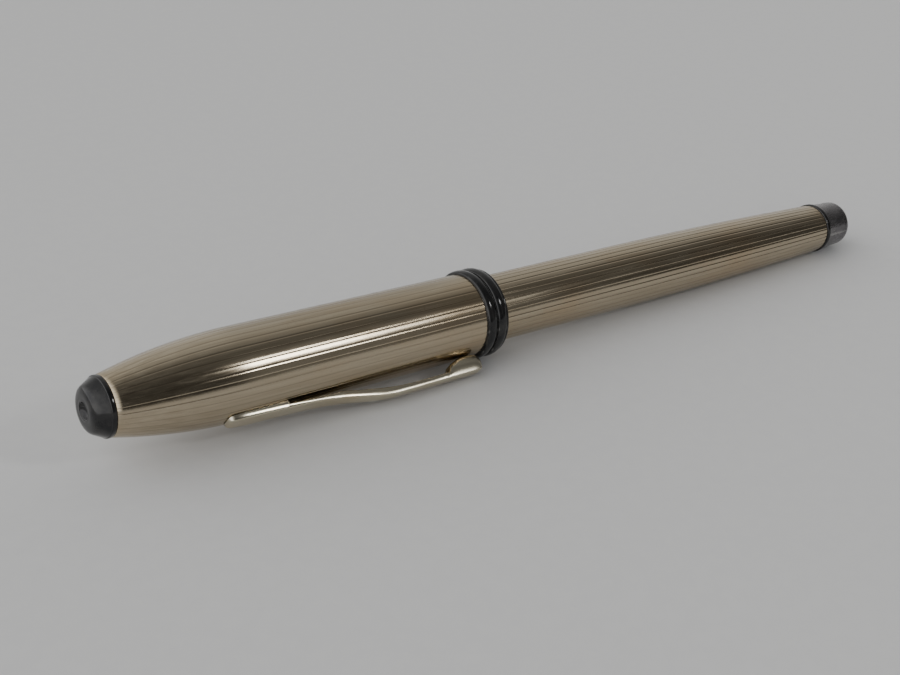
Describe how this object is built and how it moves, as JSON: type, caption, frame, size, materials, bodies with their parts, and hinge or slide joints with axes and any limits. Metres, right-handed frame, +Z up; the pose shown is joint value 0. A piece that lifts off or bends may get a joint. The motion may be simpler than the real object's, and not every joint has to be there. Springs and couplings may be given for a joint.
{
  "type": "fountain pen",
  "caption": "Capped fountain pen with a fluted metal cap and barrel, dark trims, pocket clip, nib and twist converter.",
  "frame": {"origin": "on the surface the pen lies on, under the middle of its box", "axes": "+X along the pen from the cap's end to the tail, +Z up, clip low on the -Y side"},
  "size_m": [0.1494, 0.015, 0.0138],
  "materials": {
    "champagne_metal": "rolled gold with fine lengthwise grooves, slightly tarnished",
    "clip_metal": "bright rolled gold",
    "gunmetal": "polished black plating",
    "tail_grey": "polished dark grey plating",
    "black_plastic": "moulded, satin to gloss",
    "feed_plastic": "moulded, matt",
    "plain_brass": "turned brass",
    "steel": "turned steel",
    "nib_gold": "polished gold",
    "clear_plastic": "clear moulded",
    "seal_rubber": "soft black rubber"
  },
  "bodies": {
    "section": {"section_grip": "black_plastic", "section_ring": "gunmetal", "barrel_coupler": "plain_brass", "nib_collar": "feed_plastic", "nib": "nib_gold", "nib_point": "steel", "feed": "feed_plastic", "ink_nipple": "feed_plastic"},
    "clutch": {"clutch_ring": "steel"},
    "cap": {"cap_shell": "champagne_metal", "cap_finial": "gunmetal", "finial_ring": "gunmetal", "finial_nut": "plain_brass", "finial_screw": "steel", "inner_cap": "black_plastic", "clip_retainer": "steel", "mouth_sleeve": "gunmetal", "front_band": "gunmetal", "rear_band": "gunmetal"},
    "clip": {"clip": "clip_metal"},
    "washer": {"shoulder_washer": "seal_rubber"},
    "barrel": {"barrel_shell": "champagne_metal", "barrel_bush": "plain_brass", "tail_bush": "plain_brass", "tail_ring": "gunmetal", "tail_cap": "tail_grey", "tail_screw": "steel"},
    "converter": {"converter_sleeve": "clear_plastic", "converter_seal": "seal_rubber", "converter_collar": "steel", "rod_nut": "feed_plastic"},
    "knob": {"converter_knob": "black_plastic"},
    "piston": {"piston": "feed_plastic", "piston_seals": "seal_rubber", "piston_rod": "steel"}
  },
  "joints": [
    {"name": "cap_turn", "type": "hinge", "parent": "section", "child": "clutch", "pos_m": [-0.01575, 0.00055, 0.0069], "axis": [1, 0, 0], "continuous": true},
    {"name": "cap_pull", "type": "slide", "parent": "clutch", "child": "cap", "axis": [-1, 0, 0], "range_m": [0, 0.06]},
    {"name": "clip_flex", "type": "hinge", "parent": "cap", "child": "clip", "pos_m": [-0.05655, -0.00461, 0.00276], "axis": [0, 0.6252, -0.7804], "range_deg": [0, 3], "stiffness_Nm_per_rad": 1, "springref_deg": -1.15},
    {"name": "barrel_turn", "type": "hinge", "parent": "section", "child": "washer", "pos_m": [-0.01215, 0.00055, 0.0069], "axis": [1, 0, 0], "range_deg": [0, 1440]},
    {"name": "barrel_draw", "type": "slide", "parent": "washer", "child": "barrel", "axis": [1, 0, 0], "range_m": [0, 0.072]},
    {"name": "converter_pull", "type": "slide", "parent": "section", "child": "converter", "axis": [1, 0, 0], "range_m": [0, 0.0066]},
    {"name": "knob_turn", "type": "hinge", "parent": "converter", "child": "knob", "pos_m": [0.02925, 0.00055, 0.0069], "axis": [-1, 0, 0], "range_deg": [0, 1800]},
    {"name": "piston_slide", "type": "slide", "parent": "converter", "child": "piston", "axis": [1, 0, 0], "range_m": [0, 0.02]}
  ],
  "couplings": [
    {"joint": "knob_turn", "follows": "piston_slide", "rad_per_m": 1570.8}
  ]
}
